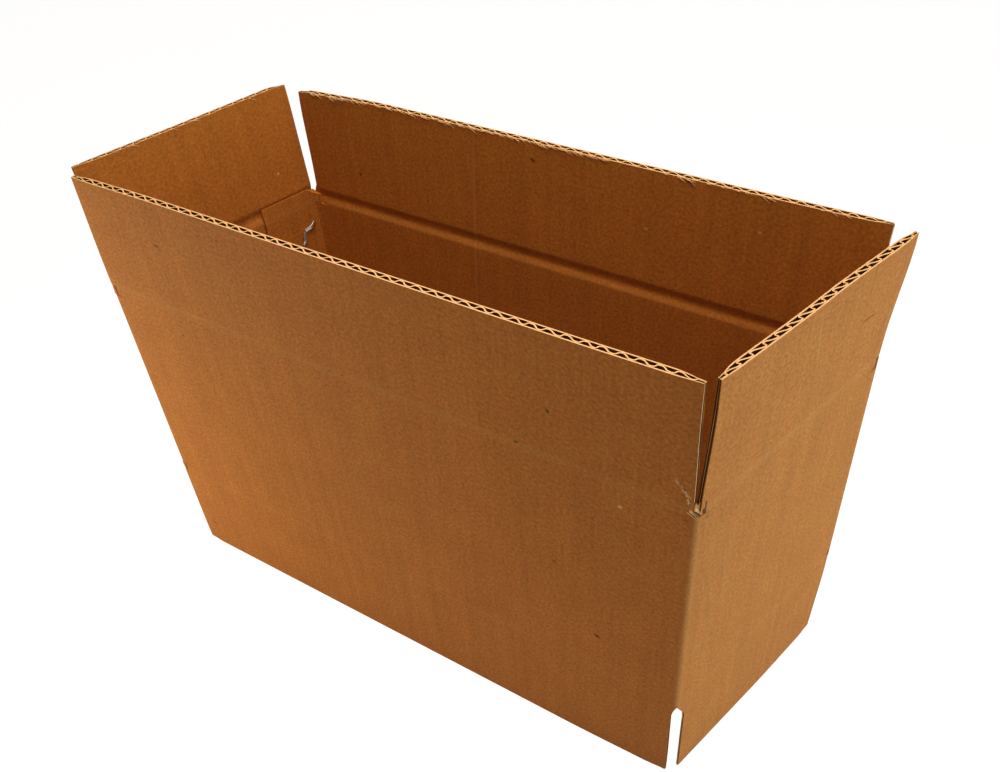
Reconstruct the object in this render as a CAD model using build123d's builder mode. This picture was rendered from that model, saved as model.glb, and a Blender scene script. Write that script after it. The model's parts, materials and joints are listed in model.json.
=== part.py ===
from build123d import *
import os
from math import atan2, cos, degrees, radians, sin

# A slotted shipping box of corrugated board, standing open on its unfolded bottom flaps.
# Millimetres and degrees. The origin is on the floor, under the middle of the box.

# The blank and the way it stands
box_length = 356.0  # front and back panels, fold to fold
box_width = 140.0  # end panels, fold to fold
wall_height = 149.0  # bottom crease to top crease
board = 4.0  # corrugated board, liner to liner
rack_angle = 15.0  # the open tube stands this far out of square, seen from above
flap_reach = box_width / 2  # facing flaps meet over the middle of the box

# Folds, creases and slots
fold_radius = 3.0  # outside of an upright fold
score_depth = 2.2  # how far the crease is pressed in from the inside
score_height = 3.5  # how far the pressed band runs from the crease
crease_gap = 0.15  # between a wall's rim and the root of its flap

# The slots: at each corner one flap covers the fold, and the flap beside it ends behind that one
covering_flaps = {
    "front_left": "front",
    "front_right": "front",
    "back_right": "right",
    "back_left": "left",
}
cover_stops = {  # how far short of the corner the covering flap ends
    "front_left": 2.4,
    "front_right": 3.4,
    "back_right": 2.4,
    "back_left": 3.6,
}
slot_gaps = {  # from the covering flap's inner face to the end of the flap beside it
    "front_left": 0.7,
    "front_right": 2.4,
    "back_right": 2.7,
    "back_left": 5.7,
}

# How far each top flap leans outwards as the box stands
top_leans = {"front": 0.0, "right": 1.2, "back": 1.6, "left": 5.0}

# The corrugation that shows at the free edges
flute_pitch = 7.9  # crest to crest
liner = 0.45  # facing sheet
medium = 0.5  # fluted sheet, measured across the board
cell_wide = 5.2  # an open cell at its liner
cell_narrow = 1.7  # the same cell at the crest that faces it
crush = 2.0  # flutes pressed shut above the crease

# The joint that closes the tube: a tab of the back panel inside the left end
tab_width = 34.0
tab_drop = 3.0  # the tab stops this far short of both creases
tab_taper = 3.0  # and loses this much more height at its free edge
lap_gap = 0.1  # between the tab and the end panel

# Wire stitches through the lap
stitch_count = 3
stitch_spacing = 50.0
stitch_length = 17.0  # over the crown
stitch_inset = 13.0  # from the corner to the middle of the stitch
stitch_tilt = 42.0  # from upright
clinch_length = 7.0  # each bent-over end
wire_width = 1.8
wire_thickness = 0.7
stitch_seat = 0.03  # between the wire and the liner that it lies on
pierce_clearance = 0.1  # round each leg

os.makedirs("parts", exist_ok=True)

rack = radians(rack_angle)
upward = Vector(0, 0, 1)
along_end = Vector(sin(rack), cos(rack), 0)
left_outward = Vector(-cos(rack), sin(rack), 0)
board_skew = board / cos(rack)  # a wall's thickness, measured along the panel beside it
lap_skew = lap_gap / cos(rack)
score_skew = score_depth / cos(rack)
low_crease = flap_reach
high_crease = flap_reach + wall_height


def plan(across, back, height=0.0):
    """A point of the box from its places along the front panel and along the end panel."""
    return Vector(across, 0, height) + along_end * back


corners = {
    "front_left": plan(-box_length / 2, -box_width / 2),
    "front_right": plan(box_length / 2, -box_width / 2),
    "back_right": plan(box_length / 2, box_width / 2),
    "back_left": plan(-box_length / 2, box_width / 2),
}
corner_angles = {
    "front_left": 90 - rack_angle,
    "front_right": 90 + rack_angle,
    "back_right": 90 - rack_angle,
    "back_left": 90 + rack_angle,
}
panels = {
    "front": ("front_left", "front_right"),
    "right": ("front_right", "back_right"),
    "back": ("back_right", "back_left"),
    "left": ("back_left", "front_left"),
}


def inner_outline(growth):
    """The inside of the tube, grown all round by a skewed amount, as a sketch outline."""
    reach_across = box_length / 2 - board_skew + growth
    reach_back = box_width / 2 - board_skew + growth
    signs = [(-1, -1), (1, -1), (1, 1), (-1, 1)]
    places = [plan(i * reach_across, j * reach_back) for i, j in signs]
    Polyline(*[(p.X, p.Y) for p in places], close=True)


# The lap stands just inside the left end panel
lap_side = -box_length / 2 + board_skew + lap_skew
wall_outline = [
    plan(-box_length / 2, box_width / 2),
    corners["front_left"],
    corners["front_right"],
    corners["back_right"],
    plan(lap_side, box_width / 2),
    plan(lap_side, box_width / 2 - board_skew),
    plan(box_length / 2 - board_skew, box_width / 2 - board_skew),
    plan(box_length / 2 - board_skew, board_skew - box_width / 2),
    plan(board_skew - box_length / 2, board_skew - box_width / 2),
    plan(board_skew - box_length / 2, box_width / 2),
]
folds = wall_outline[1:5]
tab_plane = Plane(
    origin=plan(lap_side, box_width / 2 - fold_radius, low_crease),
    x_dir=-along_end,
    z_dir=left_outward,
)
lap_face = Plane(
    origin=plan(-box_length / 2, box_width / 2, low_crease + wall_height / 2),
    x_dir=-along_end,
    z_dir=left_outward,
)
stitch_lean = radians(stitch_tilt)
stitch_run = along_end * sin(stitch_lean) + upward * cos(stitch_lean)
leg_offset = (stitch_length - wire_thickness) / 2
stitch_heights = [(i - (stitch_count - 1) / 2) * stitch_spacing for i in range(stitch_count)]
stitch_places = [lap_face.from_local_coords((stitch_inset, h, 0)) for h in stitch_heights]
lap_thickness = 2 * board + lap_gap

# Four walls folded from one strip, with the lap tab and the pressed bands along both creases
with BuildPart() as box_tube:
    with BuildSketch(Plane.XY.offset(low_crease)) as strip:
        with BuildLine():
            Polyline(*[(p.X, p.Y) for p in wall_outline], close=True)
        make_face()
        fold_points = [Vector(p.X, p.Y, low_crease) for p in folds]
        fillet([strip.vertices().sort_by_distance(p)[0] for p in fold_points], fold_radius)
    extrude(amount=wall_height)
    for crease, inward in ((high_crease, -1), (low_crease, 1)):
        for steps, growth in ((-1, 2 * score_skew), (2, -score_skew)):
            with BuildSketch(Plane.XY.offset(crease + inward * steps * score_height)):
                with BuildLine():
                    inner_outline(growth)
                make_face()
        loft(mode=Mode.SUBTRACT)
    with BuildSketch(tab_plane):
        with BuildLine():
            Polyline(
                (0, tab_drop),
                (tab_width, tab_drop + tab_taper),
                (tab_width, wall_height - tab_drop - tab_taper),
                (0, wall_height - tab_drop),
                close=True,
            )
        make_face()
    extrude(amount=-board)
    for place in stitch_places:
        for side in (-1, 1):
            leg_plane = Plane(
                origin=place + stitch_run * (side * leg_offset),
                x_dir=stitch_run,
                z_dir=left_outward,
            )
            with BuildSketch(leg_plane):
                Rectangle(wire_thickness + 2 * pierce_clearance, wire_width + 2 * pierce_clearance)
            extrude(amount=-lap_thickness - board, mode=Mode.SUBTRACT)
box_tube.part.label = "box_tube"
export_step(box_tube.part, "parts/box_tube.step")

# Flat wire driven through the lap from outside and clinched on the tab
with BuildPart() as wire_stitches:
    for place in stitch_places:
        stitch_plane = Plane(
            origin=place - left_outward * (lap_thickness / 2),
            x_dir=stitch_run,
            z_dir=stitch_run.cross(left_outward),
        )
        bend_room = lap_thickness + 2 * stitch_seat
        with BuildSketch(stitch_plane) as staple:
            Rectangle(stitch_length, bend_room + 2 * wire_thickness)
            fillet(staple.vertices(), wire_thickness)
            Rectangle(stitch_length - 2 * wire_thickness, bend_room, mode=Mode.SUBTRACT)
            with Locations((0, -bend_room / 2 - wire_thickness / 2)):
                Rectangle(stitch_length - 2 * clinch_length, 2 * wire_thickness, mode=Mode.SUBTRACT)
        extrude(amount=wire_width / 2, both=True)
wire_stitches.part.label = "wire_stitches"
export_step(wire_stitches.part, "parts/wire_stitches.step")


def slot_setback(side, corner):
    """How far a flap's end stands back from an outer corner."""
    if side == covering_flaps[corner]:
        return cover_stops[corner]
    angle = radians(corner_angles[corner])
    return (board + slot_gaps[corner] + board * cos(angle)) / sin(angle)


cell_tall = board - 2 * liner - medium
cell_row = liner + cell_tall / 2
cell_angle = degrees(atan2(2 * cell_tall, cell_wide - cell_narrow))


def make_flap(side, level, start, end, crease, rise, lean):
    """A flap hinged on the outer face of its panel, with the flutes open at its free edge."""
    run = corners[end] - corners[start]
    along = run.normalized()
    outward = along.cross(rise)
    grow = rise * cos(radians(lean)) + outward * sin(radians(lean))
    length = run.length - slot_setback(side, start) - slot_setback(side, end)
    hinge = corners[start] + upward * crease + along * slot_setback(side, start)
    flutes = int(length // flute_pitch)
    with BuildPart() as flap:
        with BuildSketch(Plane(origin=hinge, x_dir=grow, z_dir=along)):
            with BuildLine():
                Polyline(
                    (crease_gap, 0),
                    (flap_reach, 0),
                    (flap_reach, -board),
                    (crease_gap + score_height, -board),
                    (crease_gap, score_depth - board),
                    close=True,
                )
            make_face()
        extrude(amount=length)
        free_edge = hinge + along * (length / 2) + grow * flap_reach
        with BuildSketch(Plane(origin=free_edge, x_dir=along, z_dir=grow)):
            with Locations((0, cell_row)):
                with GridLocations(flute_pitch, flute_pitch, flutes, 1):
                    Trapezoid(cell_wide, cell_tall, cell_angle)
            with Locations((0, cell_row + medium)):
                with GridLocations(flute_pitch, flute_pitch, flutes - 1, 1):
                    Trapezoid(cell_wide, cell_tall, cell_angle, rotation=180)
        cell_depth = flap_reach - crease_gap - score_height - crush
        extrude(amount=-cell_depth, mode=Mode.SUBTRACT)
    flap.part.label = f"{side}_{level}_flap"
    export_step(flap.part, f"parts/{side}_{level}_flap.step")


for side, (first, second) in panels.items():
    make_flap(side, "top", first, second, high_crease, upward, top_leans[side])
    make_flap(side, "bottom", second, first, low_crease, -upward, 0)
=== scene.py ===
import json
import math
import random

import bmesh
import bpy
from mathutils import Matrix, Vector
from mathutils.geometry import intersect_line_line


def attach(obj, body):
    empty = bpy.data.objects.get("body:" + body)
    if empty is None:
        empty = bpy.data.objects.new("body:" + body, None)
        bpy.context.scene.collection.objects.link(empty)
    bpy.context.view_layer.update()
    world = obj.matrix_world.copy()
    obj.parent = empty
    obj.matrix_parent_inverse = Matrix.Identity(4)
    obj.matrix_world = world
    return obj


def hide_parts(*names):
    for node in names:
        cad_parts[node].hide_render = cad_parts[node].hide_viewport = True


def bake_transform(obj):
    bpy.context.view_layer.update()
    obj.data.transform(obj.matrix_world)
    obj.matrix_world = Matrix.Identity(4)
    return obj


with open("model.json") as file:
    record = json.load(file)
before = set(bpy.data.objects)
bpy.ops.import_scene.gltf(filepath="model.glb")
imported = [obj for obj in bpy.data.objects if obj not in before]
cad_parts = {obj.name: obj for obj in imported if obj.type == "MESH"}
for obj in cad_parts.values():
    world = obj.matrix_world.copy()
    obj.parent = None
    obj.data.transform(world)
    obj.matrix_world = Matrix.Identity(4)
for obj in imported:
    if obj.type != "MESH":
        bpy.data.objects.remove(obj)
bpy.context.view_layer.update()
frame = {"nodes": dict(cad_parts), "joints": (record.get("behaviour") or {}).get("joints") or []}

# The walls are one strip of corrugated board: two brown kraft liners glued over a fluted sheet.
# The strip is scored and folded round four corners, and a tab at the end of the back panel laps
# inside the left end, where wire stitches hold it.
board = 0.004
fold_radius = 0.003
inner_fold = 0.001
fold_steps = 4
fold_room = 0.0041
crease_band = 0.006
tab_width = 0.0408
tab_fold_room = 0.008
tab_rise = 0.004
tab_press = 0.0024
tab_top_press = 0.001
raw_edge_reach = 0.7 * board
torn_depth = 0.002
lap_gap = 0.0001
flute_pitch = 0.0079
wall_smoothing = math.radians(30)
same_place = 1e-5
near_fold = 1e-4
sides = ("left", "front", "right", "back")
crease_of = {joint["child"]: joint for joint in frame["joints"]}


def hinge(flap):
    """The middle of a flap's crease, on the outer face of its panel."""
    return Vector(crease_of[flap]["pos_m"])


def run(flap):
    """The way along a flap's crease. A positive turn about it folds the flap outwards."""
    return Vector(crease_of[flap]["axis"])


def corner(first, second):
    """Where the outer faces of two panels meet, at the upper crease."""
    lines = [hinge(f"{first}_top_flap"), hinge(f"{second}_top_flap")]
    ways = [run(f"{first}_top_flap"), run(f"{second}_top_flap")]
    return intersect_line_line(lines[0], lines[0] + ways[0], lines[1], lines[1] + ways[1])[0]


def span(flap):
    """How far a flap reaches along its crease each way from the middle."""
    vertices = frame["nodes"][flap].data.vertices
    places = [(vertex.co - hinge(flap)).dot(run(flap)) for vertex in vertices]
    return min(places), max(places)


def rim_span(side):
    """The part of a panel's rim that the creases take up, clear of the rounded folds."""
    first, last = span(f"{side}_top_flap")
    room = panel_length[side] / 2 - fold_room
    return max(first, -room), min(last, room)


low_crease = hinge("front_bottom_flap").z
high_crease = hinge("front_top_flap").z
wall_height = high_crease - low_crease
mid_height = low_crease + wall_height / 2
end_length = (corner("left", "front") - corner("left", "back")).length
long_length = (corner("front", "right") - corner("left", "front")).length
panel_length = {"left": end_length, "front": long_length, "right": end_length, "back": long_length}
# The places of the panels along the flat blank, from the raw edge of the left end
blank_start = {side: sum(panel_length[before] for before in sides[:place])
               for place, side in enumerate(sides)}
blank_middle = {side: blank_start[side] + panel_length[side] / 2 for side in sides}
corner_pairs = (("left", "front"), ("front", "right"), ("right", "back"), ("back", "left"))
turns = {pair: run(f"{pair[0]}_top_flap").angle(run(f"{pair[1]}_top_flap")) for pair in corner_pairs}


def start_piece(name):
    """Names the primitive that was just added and its map of the blank, and opens it for editing."""
    piece = bpy.context.object
    piece.name = name
    piece.data.name = name
    piece.data.uv_layers[0].name = "blank"
    bpy.ops.object.mode_set(mode="EDIT")
    return piece


def pick(kind, test):
    """Selects the vertices, edges or faces being edited that pass a test."""
    bpy.ops.mesh.select_mode(type=kind)
    bpy.ops.mesh.select_all(action="DESELECT")
    mesh = bpy.context.edit_object.data
    edited = bmesh.from_edit_mesh(mesh)
    for part in {"VERT": edited.verts, "EDGE": edited.edges, "FACE": edited.faces}[kind]:
        if test(part):
            part.select_set(True)
    bmesh.update_edit_mesh(mesh)


def cut(place, across):
    """Cuts an edge line right through the piece being edited."""
    bpy.ops.mesh.select_all(action="SELECT")
    bpy.ops.mesh.bisect(plane_co=place, plane_no=across)


def lay_on_blank(piece, middle_at, crease_at, way):
    """Writes where each corner of a flat piece lies on the blank, in metres, into its map."""
    blank = piece.data.uv_layers["blank"].data
    for loop in piece.data.loops:
        place = piece.data.vertices[loop.vertex_index].co
        blank[loop.index].uv = (middle_at + way * place.x, crease_at + way * place.y)


def finish_with(piece, kind, **settings):
    """Adds a modifier and applies it."""
    bpy.context.view_layer.objects.active = piece
    made = piece.modifiers.new(kind.lower(), kind)
    for name, value in settings.items():
        setattr(made, name, value)
    bpy.ops.object.modifier_apply(modifier=made.name)


def start_finish(name, roughness, gloss):
    """A new material with an even roughness and gloss, with its node tree and its shader."""
    material = bpy.data.materials.new(name)
    material.use_nodes = True
    shader = material.node_tree.nodes["Principled BSDF"]
    shader.inputs["Roughness"].default_value = roughness
    shader.inputs["Specular IOR Level"].default_value = gloss
    return material, material.node_tree, shader


def add_node(tree, kind, inputs=(), **settings):
    """A shader node with its settings, and with its inputs set or linked."""
    made = tree.nodes.new(kind)
    for name, value in settings.items():
        setattr(made, name, value)
    for socket, value in dict(inputs).items():
        if isinstance(value, bpy.types.NodeSocket):
            tree.links.new(value, made.inputs[socket])
        else:
            made.inputs[socket].default_value = value
    return made


def blend_colour(tree, share, first, second, how="MIX"):
    """A colour between two, or one laid over the other, by a share."""
    return add_node(tree, "ShaderNodeMix", {0: share, 6: first, 7: second}, data_type="RGBA",
                    blend_type=how).outputs[2]


def noise(tree, place, scale, detail, roughness=0.5):
    """An uneven pattern from 0 to 1, finer with a larger scale."""
    return add_node(tree, "ShaderNodeTexNoise", {
        "Vector": place, "Scale": scale, "Detail": detail, "Roughness": roughness}).outputs[0]


def stretch(tree, value, low, high, start=0, end=1):
    """Stretches what lies between two levels of a pattern over a range of its own."""
    return add_node(tree, "ShaderNodeMapRange", {0: value, 1: low, 2: high, 3: start, 4: end}).outputs[0]


def reckon(tree, how, *values):
    """A sum on patterns and numbers."""
    return add_node(tree, "ShaderNodeMath", enumerate(values), operation=how).outputs[0]


def mark_spot(tree, flat, rough, colour, mark):
    """A speck, scratch or rubbed line with ragged ends, at its place on the blank."""
    place, size, turn, shade, share = mark
    there = add_node(tree, "ShaderNodeMapping", {
        "Vector": flat, "Location": (*place, 0), "Rotation": (0, 0, math.radians(turn)),
        "Scale": (*size, 1)}, vector_type="TEXTURE").outputs[0]
    away = add_node(tree, "ShaderNodeVectorMath", {0: there}, operation="LENGTH").outputs["Value"]
    ragged = reckon(tree, "MULTIPLY_ADD", rough, mark_raggedness, away)
    shown = stretch(tree, ragged, mark_core, mark_rim, share, 0)
    return blend_colour(tree, shown, colour, shade)


def rare_spots(tree, spots, channel, odds, near, far, strength):
    """A few of the scattered spots, picked by one channel of their chance colours."""
    dot = stretch(tree, spots["Distance"], near, far, strength, 0)
    lot = add_node(tree, "ShaderNodeSeparateColor", {0: spots["Color"]}).outputs[channel]
    return reckon(tree, "MULTIPLY", dot, reckon(tree, "LESS_THAN", lot, odds))


def kraft_liner(name, pale, deep, shift, marks):
    """Brown kraft paper: cloudy pulp, fibres, specks and wear, with a washboard over the flutes."""
    material, tree, shader = start_finish(name, roughness=0.82, gloss=0.25)
    flat = add_node(tree, "ShaderNodeUVMap", uv_map="blank").outputs[0]
    pulp = add_node(tree, "ShaderNodeMapping", {"Vector": flat, "Location": shift}).outputs[0]
    cloud = noise(tree, pulp, scale=45, detail=5, roughness=0.6)
    colour = blend_colour(tree, stretch(tree, cloud, 0.3, 0.7), deep, pale)
    blotch = noise(tree, pulp, scale=110, detail=2)
    ruddy = (deep[0] * 1.04, deep[1] * 0.92, deep[2], 1)
    colour = blend_colour(tree, stretch(tree, blotch, 0.4, 0.65, end=0.4), colour, ruddy)
    drawn_out = add_node(tree, "ShaderNodeMapping", {"Vector": pulp, "Scale": (170, 7, 1)}).outputs[0]
    streak = noise(tree, drawn_out, scale=1, detail=3)
    streak = stretch(tree, streak, 0.3, 0.7, start=0.43, end=0.57)
    colour = blend_colour(tree, 0.5, colour, streak, "OVERLAY")
    fibre = noise(tree, pulp, scale=560, detail=4, roughness=0.7)
    grain = stretch(tree, fibre, 0.32, 0.68, start=0.27, end=0.73)
    colour = blend_colour(tree, 0.65, colour, grain, "OVERLAY")
    spots = add_node(tree, "ShaderNodeTexVoronoi", {
        "Vector": pulp, "Scale": 130, "Randomness": 1}).outputs
    dark_speck = rare_spots(tree, spots, 0, odds=0.06, near=0.03, far=0.09, strength=0.55)
    colour = blend_colour(tree, dark_speck, colour, bark_brown)
    pale_fleck = rare_spots(tree, spots, 1, odds=0.05, near=0.02, far=0.07, strength=0.45)
    colour = blend_colour(tree, pale_fleck, colour, straw)
    for mark in marks:
        colour = mark_spot(tree, flat, fibre, colour, mark)
    tree.links.new(colour, shader.inputs["Base Color"])
    flute_wave = math.pi / 10 / flute_pitch
    ridges = add_node(tree, "ShaderNodeTexWave", {"Vector": flat, "Scale": flute_wave, "Distortion": 0},
                      wave_type="BANDS", bands_direction="X", wave_profile="SIN").outputs[1]
    washboard = add_node(tree, "ShaderNodeBump", {
        "Height": ridges, "Strength": 0.2, "Distance": 0.00012}).outputs[0]
    relief = add_node(tree, "ShaderNodeBump", {
        "Height": fibre, "Normal": washboard, "Strength": 0.3, "Distance": 0.00025}).outputs[0]
    tree.links.new(relief, shader.inputs["Normal"])
    return material


def cut_paper(name, pale, deep):
    """Paper with short broken fibres: the raw cut edge, paler than the faces, or the flute paper, made
    dark as painted shade.
    """
    material, tree, shader = start_finish(name, roughness=0.9, gloss=0.2)
    flat = add_node(tree, "ShaderNodeUVMap", uv_map="blank").outputs[0]
    fibre = noise(tree, flat, scale=900, detail=4, roughness=0.7)
    colour = blend_colour(tree, stretch(tree, fibre, 0.3, 0.7), deep, pale)
    tree.links.new(colour, shader.inputs["Base Color"])
    relief = add_node(tree, "ShaderNodeBump", {
        "Height": fibre, "Strength": 0.5, "Distance": 0.0003}).outputs[0]
    tree.links.new(relief, shader.inputs["Normal"])
    return material


mark_raggedness = 1.4
mark_core = 1.1
mark_rim = 1.8
bark_brown = (0.06, 0.024, 0.007, 1)
straw = (0.66, 0.40, 0.19, 1)
dirt = (0.055, 0.02, 0.006, 1)
scuff = (0.30, 0.125, 0.032, 1)
rubbed = (0.62, 0.34, 0.13, 1)
bared = (0.80, 0.53, 0.28, 1)
# Marks are placed along the blank and up it, with their half length and half width, their turn,
# their colour and how much of it shows
outer_marks = [
    ((0.1960, 0.2616), (0.0017, 0.0010), -15, dirt, 0.9),
    ((0.2446, 0.2788), (0.0012, 0.0008), -30, dirt, 0.7),
    ((0.1920, 0.2018), (0.0010, 0.0008), 0, dirt, 0.6),
    ((0.4091, 0.2208), (0.0018, 0.0013), 30, dirt, 0.75),
    ((0.4259, 0.2471), (0.0016, 0.0009), -35, dirt, 0.9),
    ((0.4502, 0.1007), (0.0021, 0.0014), -20, dirt, 0.9),
    ((0.4264, 0.1469), (0.0012, 0.0010), 0, dirt, 0.7),
    ((0.3008, 0.2191), (0.0017, 0.0007), 0, dirt, 0.7),
    ((0.3086, 0.2196), (0.0015, 0.0007), 0, dirt, 0.7),
    ((0.1521, 0.0205), (0.0026, 0.0010), -12, dirt, 0.7),
    ((0.2195, 0.1218), (0.0014, 0.0009), -25, dirt, 0.6),
    ((0.4608, 0.2055), (0.0012, 0.0011), 0, bared, 0.9),
    ((0.3485, 0.2054), (0.0075, 0.0006), 5, scuff, 0.7),
    ((0.3256, 0.1193), (0.0095, 0.0006), 7, scuff, 0.7),
    ((0.5306, 0.2034), (0.0068, 0.0007), -6, scuff, 0.7),
    ((0.6088, 0.2572), (0.0066, 0.0008), -3, dirt, 0.6),
    ((0.5685, 0.2665), (0.0200, 0.0012), 100, rubbed, 0.22),
    ((0.5120, 0.1440), (0.0480, 0.0022), 100, scuff, 0.3),
    ((0.5230, 0.1500), (0.0400, 0.0015), 95, rubbed, 0.10),
    ((0.4940, 0.2240), (0.0024, 0.0060), -12, rubbed, 0.5),
    ((0.5, high_crease), (4, 0.0032), 0, rubbed, 0.12),
    ((0.5, low_crease), (4, 0.0024), 0, rubbed, 0.06),
]
for side in ("front", "right", "back"):
    outer_marks.append(((blank_start[side], mid_height), (2, 0.0030), 90, rubbed, 0.2))
inner_marks = [
    ((0.8257, 0.2787), (0.0018, 0.0010), 30, dirt, 0.9),
    ((0.9459, 0.2419), (0.0014, 0.0010), -10, dirt, 0.9),
    ((0.8660, 0.2200), (0.0900, 0.0011), 93.5, rubbed, 0.22),
    ((0.0222, 0.2396), (0.0009, 0.0009), 0, bared, 0.8),
    ((0.7600, 0.2560), (0.0012, 0.0008), 20, bared, 0.5),
    ((0.7020, 0.2700), (0.0010, 0.0010), 0, bared, 0.5),
    ((0.5, high_crease - 0.004), (4, 0.0032), 0, rubbed, 0.10),
]
outer_kraft = kraft_liner("outer_kraft", (0.50, 0.184, 0.040, 1), (0.44, 0.158, 0.033, 1), (0, 0, 0),
                          outer_marks)
# The inner liner is the outer kraft with less blue, a little more saturated: painted shade for the dim
# inside of the box.
inner_kraft_painted_shade = kraft_liner("inner_kraft_painted_shade", (0.49, 0.181, 0.029, 1), (0.43, 0.156, 0.023, 1), (3.1, 1.7, 0),
                          inner_marks)
cut_edge = cut_paper("cut_edge", (0.90, 0.62, 0.36, 1), (0.72, 0.45, 0.23, 1))
# The flute paper is coloured far darker than kraft: painted shade for the hollows of the flutes and the
# shaded cut ends of the board.
flute_paper_painted_shade = cut_paper("flute_paper_painted_shade", (0.18, 0.072, 0.022, 1), (0.12, 0.046, 0.014, 1))
board_finishes = (outer_kraft, inner_kraft_painted_shade, cut_edge, flute_paper_painted_shade)
outer_face, inner_face, cut_face, painted_shade_flute_face = range(len(board_finishes))


def give_finishes(piece, face_finish):
    """Gives a piece the board's finishes, with one of them on all its faces."""
    for material in board_finishes:
        piece.data.materials.append(material)
    for face in piece.data.polygons:
        face.material_index = face_finish


back_left_turn = turns["back", "left"]
strip_length = blank_start["back"] + long_length - (board + lap_gap) / math.sin(back_left_turn)
bpy.ops.object.select_all(action="DESELECT")
bpy.ops.mesh.primitive_plane_add(size=1)
walls = start_piece("box_walls")
bpy.ops.transform.resize(value=(strip_length, wall_height, 1), center_override=(0, 0, 0))
bpy.ops.transform.translate(value=(strip_length / 2, mid_height, 0))
for side in sides:
    first, last = rim_span(side)
    for place in (blank_start[side], blank_middle[side] + first, blank_middle[side] + last):
        cut((place, 0, 0), (1, 0, 0))
for place in (crease_band, 2 * crease_band):
    cut((0, low_crease + place, 0), (0, 1, 0))
    cut((0, high_crease - place, 0), (0, 1, 0))


def under_a_flap(face):
    """True of the strip's rim where a flap's crease runs."""
    place = face.calc_center_median()
    in_rim = min(place.y - low_crease, high_crease - place.y) < crease_band
    spans = [(blank_middle[side], *rim_span(side)) for side in sides]
    return in_rim and any(first < place.x - start < last for start, first, last in spans)


pick("FACE", under_a_flap)
bpy.ops.mesh.delete(type="FACE")
pick("EDGE", lambda edge: all(v.co.x > strip_length - same_place for v in edge.verts))
bpy.ops.mesh.extrude_region_move(TRANSFORM_OT_translate={"value": (tab_width, 0, 0)})
cut((strip_length + tab_fold_room, 0, 0), (1, 0, 0))
pick("VERT", lambda v: v.co.x > strip_length + tab_fold_room / 2 and v.co.y > high_crease - same_place)
bpy.ops.transform.translate(value=(0, tab_rise, 0))
bpy.ops.object.mode_set(mode="OBJECT")
lay_on_blank(walls, 0, 0, 1)

# The strip is folded from its far end: the tab, the back, the right end, and then the left end
bpy.ops.object.mode_set(mode="EDIT")
for place, turn in ((strip_length, back_left_turn), (blank_start["back"], turns["right", "back"]),
                    (blank_start["right"], turns["front", "right"])):
    pick("VERT", lambda vertex: vertex.co.x > place + same_place)
    bpy.ops.transform.rotate(value=-turn, orient_axis="Y", center_override=(place, 0, 0))
front_fold = (blank_start["front"], 0, 0)
pick("VERT", lambda vertex: vertex.co.x < blank_start["front"] - same_place)
bpy.ops.transform.rotate(value=turns["left", "front"], orient_axis="Y", center_override=front_fold)
bpy.ops.object.mode_set(mode="OBJECT")
front_left = corner("left", "front")
walls.rotation_euler = (math.pi / 2, 0, 0)
walls.location = (front_left.x - blank_start["front"], front_left.y, 0)
bpy.ops.object.transform_apply(location=True, rotation=True, scale=True)
give_finishes(walls, outer_face)
finish_with(walls, "SOLIDIFY", thickness=board, offset=-1, use_even_offset=True,
            material_offset=inner_face, material_offset_rim=inner_face)
lap_corner = corner("back", "left")
for face in walls.data.polygons:
    if (face.center.xy - lap_corner.xy).length < raw_edge_reach:
        face.material_index = cut_face

# Each fold is rounded outside and pressed close inside
bpy.ops.object.mode_set(mode="EDIT")
tab_fold = lap_corner + run("back_top_flap") * (strip_length - blank_start["back"] - long_length)
fold_places = [(corner(*pair), turns[pair]) for pair in corner_pairs[:3]] + [(tab_fold, back_left_turn)]
for place, turn in fold_places:
    half_angle = (math.pi - turn) / 2
    for reach, radius in ((board / math.sin(half_angle), inner_fold), (0, fold_radius)):
        pick("EDGE", lambda edge: abs(edge.verts[0].co.z - edge.verts[1].co.z) > same_place
             and all(abs((v.co.xy - place.xy).length - reach) < near_fold for v in edge.verts))
        bpy.ops.mesh.bevel(offset=radius / math.tan(half_angle), segments=fold_steps, affect="EDGES")

# The tab is pressed thin, so that the lap lies close, and one slot end is torn
into_lap = run("left_top_flap")
lap_out = into_lap.cross(Vector((0, 0, 1)))


def on_tab_face(vertex):
    """True of the tab's face that looks into the box, with its rounded fold."""
    place = vertex.co - lap_corner
    depth = -place.dot(lap_out) - 2 * board - lap_gap
    return -near_fold < depth < inner_fold and board / 2 < place.dot(into_lap) < tab_width + 2 * board


pick("VERT", on_tab_face)
bpy.ops.transform.translate(value=run("back_top_flap") * (tab_press / math.sin(back_left_turn)))
pick("VERT", lambda v: v.co.z > high_crease + tab_rise / 2
     and -(v.co - lap_corner).dot(lap_out) > 2 * board - tab_press - near_fold)
bpy.ops.transform.translate(value=lap_out * tab_top_press)
slot_corner = corner("front", "right")
pick("VERT", lambda v: v.co.z > high_crease - same_place
     and (v.co.xy - slot_corner.xy).length < 2 * board)
bpy.ops.transform.translate(value=(0, 0, -torn_depth))
bpy.ops.object.mode_set(mode="OBJECT")
bpy.ops.object.shade_smooth_by_angle(angle=wall_smoothing)
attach(walls, "tube")
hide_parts("box_tube")

# The creases are where the board is pressed between two wheels, so that each flap folds on a line.
# The flutes are crushed flat there, with a wide soft groove inside and a faint worn line outside.
score_depth = 0.0014
score_half = 0.0056
outer_groove = 0.0003
crease_rows = 19
crease_step = 2 * crease_band / (crease_rows + 1)
slot_cuts = (0.002, 0.004, 0.007, 0.011)
slot_nip = 0.0012
slot_squash = 0.62
nipped_shut = 0.3
slot_reach = 0.009
squash_level = -0.3 * board
slot_facing = 0.6
flap_smoothing = math.radians(40)
# How much further than its node a flap's board reaches into its two slots
slot_trims = {
    "front_top_flap": (-0.0008, 0),
    "left_top_flap": (-0.0015, 0),
    "back_top_flap": (-0.0010, 0.0020),
    "front_bottom_flap": (0, 0.0008),
}
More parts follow.
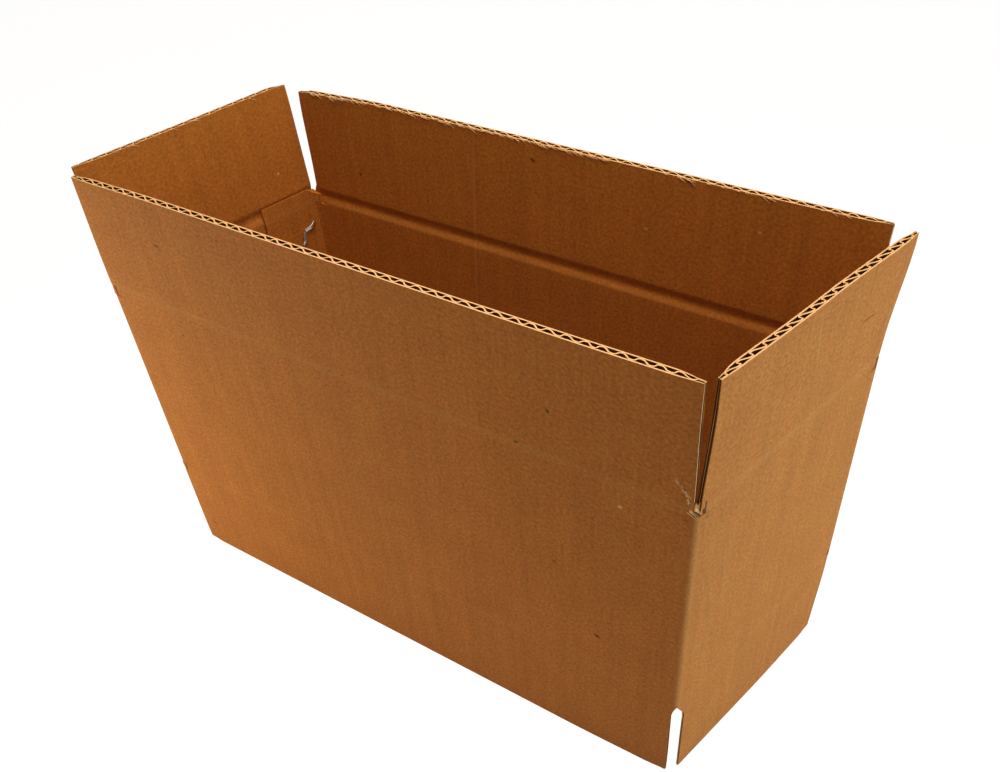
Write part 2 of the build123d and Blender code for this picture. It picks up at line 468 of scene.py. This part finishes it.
# How much further it reaches at its root, where the board was not cut quite through
root_pulls = {"front_top_flap": (0, 0.0009), "right_top_flap": (-0.0034, 0)}
root_reach = 0.05
# How far it reaches at the crease itself, at its first or last end, where the slot runs to a point,
# and how far up the flap the point begins
slot_points = {
    ("back_top_flap", 1): (0.0030, 0.006),
    ("front_bottom_flap", 0): (-0.0034, 0.01),
    ("right_bottom_flap", 1): (0.0054, 0.01),
}
# The end that the knives nipped shut
nipped_ends = [("right_bottom_flap", 1)]


def lean_of(flap):
    """How far a flap stands outwards of upright, as the box stands."""
    return -math.radians(crease_of[flap]["range_deg"][0])


def way_of(flap):
    """Up the blank for the top flaps, down it for the bottom ones."""
    return 1 if "top" in flap else -1


def board_span(flap):
    """How far a flap's board reaches along its crease each way from the middle."""
    first, last = span(flap)
    trims = slot_trims.get(flap, (0, 0))
    return first + trims[0], last + trims[1]


def fold_up(piece, flap, lean):
    """Turns a piece that was made flat up to its place on a panel, leaning outwards."""
    along = run(flap)
    grow = Matrix.Rotation(lean, 3, along) @ Vector((0, 0, way_of(flap)))
    placed = Matrix((along, grow, along.cross(grow))).transposed().to_4x4()
    placed.translation = hinge(flap)
    piece.matrix_world = placed
    bpy.ops.object.select_all(action="DESELECT")
    piece.select_set(True)
    bpy.context.view_layer.objects.active = piece
    bpy.ops.object.transform_apply(location=True, rotation=True, scale=True)


def press_slot_edges(flap, first, last):
    """Squashes the board being edited along its two slots, where the slotting knives nipped it."""
    pulls = root_pulls.get(flap, (0, 0))
    for place, end in enumerate((first, last)):
        point, point_height = slot_points.get((flap, place), (0, 1))
        nipped = (flap, place) in nipped_ends
        squash, level = (nipped_shut, 0) if nipped else (slot_squash, squash_level)
        pick("VERT", lambda v: abs(v.co.x - end) < slot_nip)
        bpy.ops.transform.resize(value=(1, 1, squash), center_override=(end, 0, level),
                                 use_proportional_edit=True, proportional_size=slot_reach)
        for row in range(crease_rows // 2 + 2):
            up = row * crease_step
            pick("VERT", lambda v: abs(v.co.x - end) < same_place and abs(v.co.y - up) < crease_step / 4)
            bpy.ops.transform.translate(value=(point * (1 - up / point_height), 0, 0))
        pick("VERT", lambda v: abs(v.co.x - end) < slot_nip and v.co.y < crease_band + same_place)
        bpy.ops.transform.translate(value=(pulls[place], 0, 0), use_proportional_edit=True,
                                    proportional_size=root_reach)


def press_crease(flap):
    """The strip of board along one crease, with its flap's half bent to the lean that the flap stands
    at.
    """
    first, last = board_span(flap)
    bpy.ops.object.select_all(action="DESELECT")
    bpy.ops.mesh.primitive_cube_add(size=1)
    crease = start_piece(flap.replace("flap", "crease"))
    bpy.ops.transform.resize(value=(last - first, 2 * crease_band, board), center_override=(0, 0, 0))
    bpy.ops.transform.translate(value=((first + last) / 2, 0, -board / 2))
    pick("EDGE", lambda edge: abs(edge.verts[0].co.y - edge.verts[1].co.y) > crease_band)
    bpy.ops.mesh.subdivide(number_cuts=crease_rows)
    for row in range(1, crease_rows + 1):
        place = row * crease_step - crease_band
        pressed = max(0, 1 - abs(place) / score_half)
        depth = score_depth * pressed * pressed * (3 - 2 * pressed)
        pick("VERT", lambda v: abs(v.co.y - place) < crease_step / 4 and v.co.z < -board / 2)
        bpy.ops.transform.translate(value=(0, 0, depth))
        pick("VERT", lambda v: abs(v.co.y - place) < crease_step / 4 and v.co.z > -board / 4)
        bpy.ops.transform.translate(value=(0, 0, -outer_groove * pressed ** 3))
    for inset in slot_cuts:
        cut((first + inset, 0, 0), (1, 0, 0))
        cut((last - inset, 0, 0), (1, 0, 0))
    press_slot_edges(flap, first, last)
    bpy.ops.object.mode_set(mode="OBJECT")
    side = flap.split("_")[0]
    lay_on_blank(crease, blank_middle[side], hinge(flap).z, way_of(flap))
    give_finishes(crease, outer_face)
    # The crease's cut ends at the slots take the dark flute paper: painted shade.
    for face in crease.data.polygons:
        if abs(face.normal.x) > slot_facing:
            face.material_index = painted_shade_flute_face
        elif face.normal.z <= 0:
            face.material_index = inner_face
    bpy.ops.object.mode_set(mode="EDIT")
    pick("VERT", lambda v: v.co.y > crease_step / 4)
    bpy.ops.transform.rotate(value=-lean_of(flap), orient_axis="X", center_override=(0, 0, 0))
    bpy.ops.object.mode_set(mode="OBJECT")
    fold_up(crease, flap, 0)
    bpy.ops.object.shade_smooth_by_angle(angle=flap_smoothing)
    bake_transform(crease)


for flap in crease_of:
    press_crease(flap)

# The flaps are the blank's slotted ends, cut so that their flutes show at the free edge.
# Each one is an outer and an inner liner with the fluted sheet glued between them. The knives
# nipped the board along the slots, and handling has bent, torn and frayed the edges a little.
liner = 0.0007
liner_cell = 0.004
liner_rows = 8
rim_facing = 0.9
flute_sheet = 0.0007
flute_swing = (board - 2 * liner - flute_sheet) / 2
flute_steps = 12
flute_rows = 4
flute_round = 0.5
flute_wander = 0.0024
cut_facing = 0.5
flute_leans = {"right": 0.0013, "front": 0.0004, "back": 0.0005, "left": 0.0008}
corner_squash = 0.7
corner_reach = 0.013
bend_reach = 0.06
ear_reach = 0.009
# How far handling has bent the free corners, along the crease, up the flap and outwards
bent_corners = {
    "front_top_flap": ((0.0016, -0.0008, 0.0001), (0, 0, -0.0004)),
    "right_top_flap": ((0.0004, 0, -0.0012), (0.0008, 0.0006, 0.0020)),
    "back_top_flap": ((0.0020, 0, 0.0004), (0.0008, -0.0020, -0.0003)),
    "left_top_flap": ((-0.0004, 0, 0.0003), (0, 0, 0.0009)),
    "front_bottom_flap": ((0, 0, -0.0008), (0, 0, 0)),
    "right_bottom_flap": ((0.0012, 0, -0.0008), (0, 0, 0.0006)),
}
# Free corners that are worn down at the very tip, and an end that was cut short
worn_tips = {"back_top_flap": (0, -0.0016), "left_top_flap": (-0.0014, 0)}
short_ends = {"right_bottom_flap": (0, -0.0018)}
# Strands that hang from a cut edge: how far in they root, and their droop, sag, lengths and girth
fray_inset = 0.0002
fray_lift = 0.0001
fray_droop = (4, 34)
fray_sag = (0.02, 0.16)
fray_lengths = (0.0016, 0.0022, 0.0032, 0.0046)
fray_girth = (0.00014, 0.00026)
# The back flap is frayed most over its far part, from this place on, and clear of its corners
fray_from = -0.02
fray_counts = {"most": 90, "some": 22, "few": 8}
fray_clear = {"most": 0.008, "some": 0.012, "few": 0.01}
# The tear in the front flap's outer liner, from the box's corner and up from the crease
tear_points = ((-0.0117, 0.0166), (-0.0098, 0.0136), (-0.0072, 0.0103), (-0.0060, 0.0083),
               (-0.0058, 0.0050))
# Its strands' count to each length of it, spread and girth, along all of it and again at its foot
tear_strands = (7, 0.0006, 0.00026)
tear_foot_strands = (9, 0.0009, 0.00028)
tear_overlap = 3.2
tear_girth = (0.5, 1.2)
uneven = bpy.data.textures.new("uneven_flutes", "CLOUDS")
uneven.noise_scale = 0.011
chance = random.Random(12)


def sheet_of_paper(name, size, place, face_finish):
    """A flat liner that faces up or down, with its thickness on the side away from its face."""
    bpy.ops.object.select_all(action="DESELECT")
    columns = round(size[0] / liner_cell)
    bpy.ops.mesh.primitive_grid_add(x_subdivisions=columns, y_subdivisions=liner_rows, size=1)
    piece = start_piece(name)
    bpy.ops.transform.resize(value=(*size, 1), center_override=(0, 0, 0))
    bpy.ops.transform.translate(value=place)
    bpy.ops.mesh.select_all(action="SELECT")
    if place[2] < 0:
        bpy.ops.mesh.flip_normals()
    bpy.ops.object.mode_set(mode="OBJECT")
    give_finishes(piece, face_finish)
    # The liner's back, towards the flutes, takes the dark flute paper as painted shade.
    finish_with(piece, "SOLIDIFY", thickness=liner, offset=-1, material_offset=painted_shade_flute_face - face_finish,
                material_offset_rim=cut_face - face_finish)
    bare_side = "front_top_flap_board" in name
    for face in piece.data.polygons:
        if face.normal.y < -rim_facing or abs(face.normal.x) > rim_facing and not bare_side:
            face.material_index = face_finish
    return piece


def fluted_sheet(name, first, last, depth, lean):
    """One flute, set out again and again along the flap, and not quite evenly."""
    flutes = round((last - first) / flute_pitch)
    pitch = (last - first) / flutes
    bpy.ops.object.select_all(action="DESELECT")
    bpy.ops.mesh.primitive_grid_add(x_subdivisions=flute_steps, y_subdivisions=flute_rows, size=1)
    piece = start_piece(name)
    bpy.ops.transform.resize(value=(pitch, depth, 1), center_override=(0, 0, 0))
    bpy.ops.transform.translate(value=(first + pitch / 2, crease_band + depth / 2, -board / 2))
    for column in range(1, flute_steps):
        wave = math.sin(2 * math.pi * column / flute_steps)
        swell = math.copysign(abs(wave) ** flute_round, wave)
        pick("VERT", lambda v: v.index % (flute_steps + 1) == column)
        bpy.ops.transform.translate(value=(lean * swell, 0, flute_swing * swell))
    bpy.ops.object.mode_set(mode="OBJECT")
    # The flutes are the dark flute paper: painted shade in their hollows.
    give_finishes(piece, painted_shade_flute_face)
    finish_with(piece, "ARRAY", count=flutes, use_relative_offset=False, use_constant_offset=True,
                constant_offset_displace=(pitch, 0, 0), use_merge_vertices=True,
                merge_threshold=pitch / 50)
    finish_with(piece, "DISPLACE", texture=uneven, texture_coords="LOCAL", direction="X",
                strength=flute_wander, mid_level=0.5)
    finish_with(piece, "SOLIDIFY", thickness=flute_sheet, offset=0,
                material_offset_rim=cut_face - painted_shade_flute_face)
    # On the front flap the flutes' cut ends at the slots are dark flute paper too, not pale cut paper:
    # painted shade.
    if "front" in name:
        for face in piece.data.polygons:
            if abs(face.normal.y) < cut_facing:
                face.material_index = painted_shade_flute_face
    return piece


def join_up(name, made):
    """Joins pieces that were just made into the first of them, and names it."""
    bpy.ops.object.select_all(action="DESELECT")
    for part in made:
        part.select_set(True)
    piece = made[0]
    bpy.context.view_layer.objects.active = piece
    bpy.ops.object.join()
    bpy.ops.object.transform_apply(location=True, rotation=True, scale=True)
    piece.name = name
    piece.data.name = name
    piece.data.uv_layers[0].name = "blank"
    return piece


def lay_fibres(name, strands):
    """Thin torn fibres of the paper, each from its root to its tip."""
    made = []
    for root, tip, girth in strands:
        way = tip - root
        turned = way.to_track_quat("Z", "Y").to_euler()
        bpy.ops.mesh.primitive_cone_add(vertices=4, radius1=girth, radius2=girth / 5, depth=way.length,
                                        location=(root + tip) / 2, rotation=turned)
        made.append(bpy.context.object)
    fibres = join_up(name, made)
    give_finishes(fibres, cut_face)
    return fibres


def frayed_edge(first, last, reach, count):
    """Strands that hang from the inner liner's cut edge."""
    strands = []
    for _ in range(count):
        root = Vector((chance.uniform(first, last), reach - fray_inset, -board - fray_lift))
        droop = math.radians(chance.uniform(*fray_droop))
        length = chance.choice(fray_lengths)
        way = Vector((-math.cos(droop), -math.sin(droop), -chance.uniform(*fray_sag)))
        strands.append((root, root + way * length, chance.uniform(*fray_girth)))
    return strands


def torn_line(points, count, spread, girth):
    """Strands laid end over end along a tear in the outer liner."""
    strands = []
    for start, end in zip(points, points[1:]):
        way = Vector((*end, 0)) - Vector((*start, 0))
        for step in range(count):
            root = Vector((*start, 0)) + way * (step / count)
            root += Vector((chance.uniform(-spread, spread), chance.uniform(-spread, spread), 0))
            tip = root + way * (tear_overlap / count) + Vector((chance.uniform(-spread, spread), 0, 0))
            strands.append((root, tip, girth * chance.uniform(*tear_girth)))
    return strands


def worn_fibres(flap, first, last, reach):
    """What has come loose from a flap: its frayed edge or its torn corner."""
    if flap == "back_top_flap":
        return (frayed_edge(fray_from, last - fray_clear["most"], reach, fray_counts["most"])
                + frayed_edge(first + fray_clear["some"], fray_from, reach, fray_counts["some"]))
    if flap == "front_top_flap":
        tear = [(long_length / 2 + across, up) for across, up in tear_points]
        return torn_line(tear, *tear_strands) + torn_line(tear[2:], *tear_foot_strands)
    return frayed_edge(first + fray_clear["few"], last - fray_clear["few"], reach, fray_counts["few"])


def bend_corners(flap, first, last, reach):
    """Squashes and bends the free corners of the flap being edited."""
    for end, short in zip((first, last), short_ends.get(flap, (0, 0))):
        pick("VERT", lambda v: abs(v.co.x - end) < slot_nip and v.co.y > crease_band + slot_nip)
        bpy.ops.transform.translate(value=(short, 0, 0), use_proportional_edit=True,
                                    proportional_size=ear_reach / 2)
    bends = bent_corners.get(flap, ((0, 0, 0), (0, 0, 0)))
    for end, bend, tip in zip((first, last), bends, worn_tips.get(flap, (0, 0))):
        pick("VERT", lambda v: abs(v.co.x - end) < slot_nip and v.co.y > reach - slot_nip)
        bpy.ops.transform.resize(value=(1, 1, corner_squash), center_override=(end, 0, squash_level),
                                 use_proportional_edit=True, proportional_size=corner_reach)
        bpy.ops.transform.translate(value=bend, use_proportional_edit=True,
                                    proportional_size=bend_reach)
        bpy.ops.transform.translate(value=(0, tip, 0), use_proportional_edit=True,
                                    proportional_size=ear_reach)


def build_flap(flap):
    """A flap with its two liners and its flutes, made flat and then folded up to its crease."""
    side = flap.split("_")[0]
    first, last = board_span(flap)
    arms = [vertex.co - hinge(flap) for vertex in frame["nodes"][flap].data.vertices]
    reach = math.sqrt(max(arm.length_squared - arm.dot(run(flap)) ** 2 for arm in arms) - board ** 2)
    depth = reach - crease_band
    size = (last - first, depth)
    place = ((first + last) / 2, crease_band + depth / 2)
    outer = sheet_of_paper(flap + "_board", size, (*place, 0), outer_face)
    inner = sheet_of_paper(flap + "_inner", size, (*place, -board), inner_face)
    waves = fluted_sheet(flap + "_flutes", first, last, depth, flute_leans[side])
    fibres = lay_fibres(flap + "_fibres", worn_fibres(flap, first, last, reach))
    piece = join_up(flap + "_board", [outer, inner, waves, fibres])
    lay_on_blank(piece, blank_middle[side], hinge(flap).z, way_of(flap))
    bpy.ops.object.mode_set(mode="EDIT")
    press_slot_edges(flap, first, last)
    bend_corners(flap, first, last, reach)
    bpy.ops.object.mode_set(mode="OBJECT")
    fold_up(piece, flap, lean_of(flap))
    bpy.ops.object.shade_smooth_by_angle(angle=flap_smoothing)
    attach(piece, flap)
    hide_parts(flap)


for flap in crease_of:
    build_flap(flap)

# The slot at the front right corner has torn a little further into the fold. A torn web of the
# paper still spans its end, over a small cup of pale layered fibres.
fold_at = long_length / 2
web_columns = 8
web_rows = 5
web_size = (0.0056, 0.009, 1)
web_whole = 0.001
web_left = (0.45, 1)
web_taper = 0.03
web_turn = math.radians(53)
web_place = (fold_at - 0.0003, 0.0022, -0.0026)
web_thickness = 0.0005
web_painted_shade_below = 0.0006
web_painted_shade_past = fold_at + 0.0008
cup_layers = 5
cup_root = Vector((fold_at - 0.0048, 0, 0.0004))
cup_root_step = Vector((0.0008, 0.0011, 0))
cup_tip = Vector((fold_at - 0.0010, -0.0024, 0.0003))
cup_tip_step = Vector((0.0006, 0.0010, -0.0003))
root_stray = (-0.0008, 0.0010)
tip_stray = (-0.0014, 0.0006)
rise_stray = (-0.0004, 0.0004)
cup_girth = (0.0002, 0.0005)
bpy.ops.object.select_all(action="DESELECT")
bpy.ops.mesh.primitive_grid_add(x_subdivisions=web_columns, y_subdivisions=web_rows, size=1)
web = start_piece("torn_web")
bpy.ops.transform.resize(value=web_size, center_override=(0, 0, 0))
for column in range(web_columns + 1):
    pick("VERT", lambda v: v.index % (web_columns + 1) == column and v.co.y > web_whole)
    left = chance.uniform(*web_left) - web_taper * column
    bpy.ops.transform.resize(value=(1, left, 1), center_override=(0, 0, 0))
bpy.ops.object.mode_set(mode="OBJECT")
web.rotation_euler = (0, web_turn, 0)
web.location = web_place
bpy.ops.object.transform_apply(location=True, rotation=True, scale=True)
finish_with(web, "SOLIDIFY", thickness=web_thickness, offset=-1)
give_finishes(web, outer_face)
# Low on the web and past the fold, its faces take the dark flute paper: painted shade.
for face in web.data.polygons:
    if face.center.y < web_painted_shade_below or face.center.x > web_painted_shade_past:
        face.material_index = painted_shade_flute_face
cup = []
for layer in range(cup_layers):
    root = cup_root + cup_root_step * layer
    root += Vector((chance.uniform(*root_stray), chance.uniform(*rise_stray), 0))
    tip = cup_tip + cup_tip_step * layer
    tip += Vector((chance.uniform(*tip_stray), chance.uniform(*rise_stray), 0))
    cup.append((root, tip, chance.uniform(*cup_girth)))
torn_cup = lay_fibres("torn_slot_end", cup)
torn_cup = join_up("torn_slot_end", [torn_cup, web])
lay_on_blank(torn_cup, blank_middle["front"], high_crease, 1)
fold_up(torn_cup, "front_top_flap", 0)
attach(torn_cup, "tube")

# The stitches are flat galvanised wire, driven through the lap from outside.
# Their two ends are clinched over on the tab, where they lie a little crooked.
wire_width = 0.0023
wire_thickness = 0.0009
wire_rounding = 0.3 * wire_thickness
wire_smoothing = math.radians(50)
crown_length = 0.017
leg_reach = (crown_length - wire_thickness) / 2
stitch_inset = 0.0126
stitch_spacing = 0.05
stitch_tilt = math.radians(42)
clinch_length = 0.0084
clinch_turns = (math.radians(22), math.radians(-24))
clinch_cuts = (0.2, 0.4, 0.6, 0.8)
clinch_arch = 0.0012
arch_top = 0.4 * clinch_length
arch_reach = 0.55 * clinch_length
lap_thickness = 2 * board + lap_gap - tab_press
wire, wire_tree, wire_shader = start_finish("galvanised_wire", roughness=0.38, gloss=0.5)
wire_place = add_node(wire_tree, "ShaderNodeTexCoord").outputs["Object"]
brushed = noise(wire_tree, wire_place, scale=700, detail=3)
wire_shade = blend_colour(wire_tree, brushed, (0.46, 0.43, 0.39, 1), (0.80, 0.77, 0.72, 1))
wire_tree.links.new(wire_shade, wire_shader.inputs["Base Color"])
wire_shader.inputs["Metallic"].default_value = 1


def wire_bar(size, place):
    """A straight length of the wire, with its edges rolled round."""
    bpy.ops.object.select_all(action="DESELECT")
    bpy.ops.mesh.primitive_cube_add(size=1)
    bar = start_piece("wire_bar")
    bpy.ops.transform.resize(value=size, center_override=(0, 0, 0))
    bpy.ops.transform.translate(value=place)
    bpy.ops.mesh.select_all(action="SELECT")
    bpy.ops.mesh.bevel(offset=wire_rounding, segments=2, affect="EDGES")
    bpy.ops.object.mode_set(mode="OBJECT")
    return bar


def clinched_end(end, turn):
    """One bent-over end of the wire, arched off the tab and turned a little out of line."""
    leg = end * leg_reach
    middle_at = (leg - end * clinch_length / 2, 0, -lap_thickness - wire_thickness / 2)
    bar = wire_bar((clinch_length, wire_width, wire_thickness), middle_at)
    bpy.ops.object.mode_set(mode="EDIT")
    for share in clinch_cuts:
        cut((leg - end * clinch_length * share, 0, 0), (1, 0, 0))
    pick("VERT", lambda v: abs(v.co.x - leg + end * arch_top) < clinch_length / 20)
    bpy.ops.transform.translate(value=(0, 0, -clinch_arch), use_proportional_edit=True,
                                proportional_size=arch_reach)
    bpy.ops.mesh.select_all(action="SELECT")
    bpy.ops.transform.rotate(value=turn, orient_axis="Z", center_override=(leg, 0, 0))
    bpy.ops.object.mode_set(mode="OBJECT")
    return bar


bars = [wire_bar((crown_length, wire_width, wire_thickness), (0, 0, wire_thickness / 2))]
leg_size = (wire_thickness, wire_width, lap_thickness + 2 * wire_thickness)
for end, turn in zip((-1, 1), clinch_turns):
    bars.append(wire_bar(leg_size, (end * leg_reach, 0, -lap_thickness / 2)))
    bars.append(clinched_end(end, turn))
stitch = join_up("lap_stitches", bars)
stitch.data.materials.append(wire)
bpy.ops.object.shade_smooth_by_angle(angle=wire_smoothing)
along_wire = -into_lap * math.sin(stitch_tilt) + Vector((0, 0, math.cos(stitch_tilt)))
seat = Matrix((along_wire, lap_out.cross(along_wire), lap_out)).transposed().to_4x4()
stitches = []
for step in (-1, 0, 1):
    stitches.append(stitch)
    if step < 1:
        stitch = stitch.copy()
        stitch.data = stitch.data.copy()
        bpy.context.collection.objects.link(stitch)
    seat.translation = lap_corner + into_lap * stitch_inset
    seat.translation.z = mid_height + step * stitch_spacing
    stitches[-1].matrix_world = seat
join_up("lap_stitches", stitches)
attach(stitches[0], "tube")
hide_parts("wire_stitches")

# The floor is a plain white sheet of paper, which keeps the box's soft shadow.
# It and the sky behind it look white to the camera.
floor_size = 12
floor_colour = (0.71, 0.69, 0.64, 1)
floor_lift = 0.8
floor_glow = 1.2
pure_white = (1, 1, 1, 1)


def seen_directly(tree):
    """One for what the camera sees, straight, mirrored or through glass, and nought for other light."""
    path = add_node(tree, "ShaderNodeLightPath").outputs
    seen = reckon(tree, "MAXIMUM", path["Is Camera Ray"], path["Is Glossy Ray"])
    return reckon(tree, "MAXIMUM", seen, path["Is Transmission Ray"])


bpy.ops.object.select_all(action="DESELECT")
bpy.ops.mesh.primitive_plane_add(size=floor_size, location=(0, 0, 0))
floor = bpy.context.object
floor.name = "studio_floor"
floor_white, tree, matt = start_finish("studio_white", roughness=0.95, gloss=0.1)
matt.inputs["Base Color"].default_value = floor_colour
lift = reckon(tree, "MULTIPLY", seen_directly(tree), floor_lift)
glow = add_node(tree, "ShaderNodeEmission", {"Color": pure_white, "Strength": floor_glow}).outputs[0]
floor_mix = add_node(tree, "ShaderNodeMixShader", {0: lift, 1: matt.outputs[0], 2: glow}).outputs[0]
tree.links.new(floor_mix, tree.nodes["Material Output"].inputs["Surface"])
floor.data.materials.append(floor_white)

# The light is a large warm softbox overhead with a small one over the opening, two soft windows at
# the right, a small one low at the front left, and a faint even sky.
sky_tint = (1, 0.82, 0.62, 1)
sky_strength = 0.055
aim = Vector((0, 0, high_crease / 2))
for name, place, size, watts, tint in (
        ("overhead_softbox", (0.0, 0.0, 1.5), 1.2, 8.8, (1, 0.75, 0.46)),
        ("opening_light", (0.05, -0.045, 0.8), 0.2, 2.2, (1, 0.82, 0.60)),
        ("right_window", (1.0, 0.06, 0.2), 0.4, 4.9, (0.76, 0.99, 1)),
        ("right_high_window", (1.1, 0.0, 0.9), 0.8, 1.65, (1, 0.91, 0.88)),
        ("front_left_window", (-0.44, -0.29, 0.10), 0.25, 1.25, (1, 0.92, 0.60))):
    bpy.ops.object.light_add(type="AREA", location=place,
                             rotation=(Vector(place) - aim).to_track_quat("Z", "Y").to_euler())
    lamp = bpy.context.object
    lamp.name = name
    lamp.visible_camera = False
    lamp.data.size = size
    lamp.data.energy = watts
    lamp.data.color = tint
world = bpy.data.worlds.new("studio_sky")
world.use_nodes = True
bpy.context.scene.world = world
tree = world.node_tree
sky = tree.nodes["Background"]
sky.inputs["Color"].default_value = sky_tint
sky.inputs["Strength"].default_value = sky_strength
white = add_node(tree, "ShaderNodeBackground", {"Color": pure_white, "Strength": 1}).outputs[0]
sky_mix = add_node(tree, "ShaderNodeMixShader", {
    0: seen_directly(tree), 1: sky.outputs[0], 2: white}).outputs[0]
tree.links.new(sky_mix, tree.nodes["World Output"].inputs["Surface"])

# The camera stands above the right-hand front corner and looks down into the box. Its place, its
# turn and its lens are a fit of the box's corners to the photograph.
camera_place = (0.2442, -0.3216, 0.5255)
camera_round = math.radians(34.932)
camera_down = math.radians(41.477)
camera_roll = math.radians(-4.726)
camera_turn = (Matrix.Rotation(camera_round, 3, "Z") @ Matrix.Rotation(math.pi / 2 - camera_down, 3, "X")
               @ Matrix.Rotation(camera_roll, 3, "Z"))
bpy.ops.object.camera_add(location=camera_place, rotation=camera_turn.to_euler())
camera = bpy.context.object
camera.data.lens = 34.843
camera.data.sensor_width = 36
camera.data.clip_start = 0.01
bpy.context.scene.camera = camera
bpy.context.scene.view_settings.view_transform = "Standard"
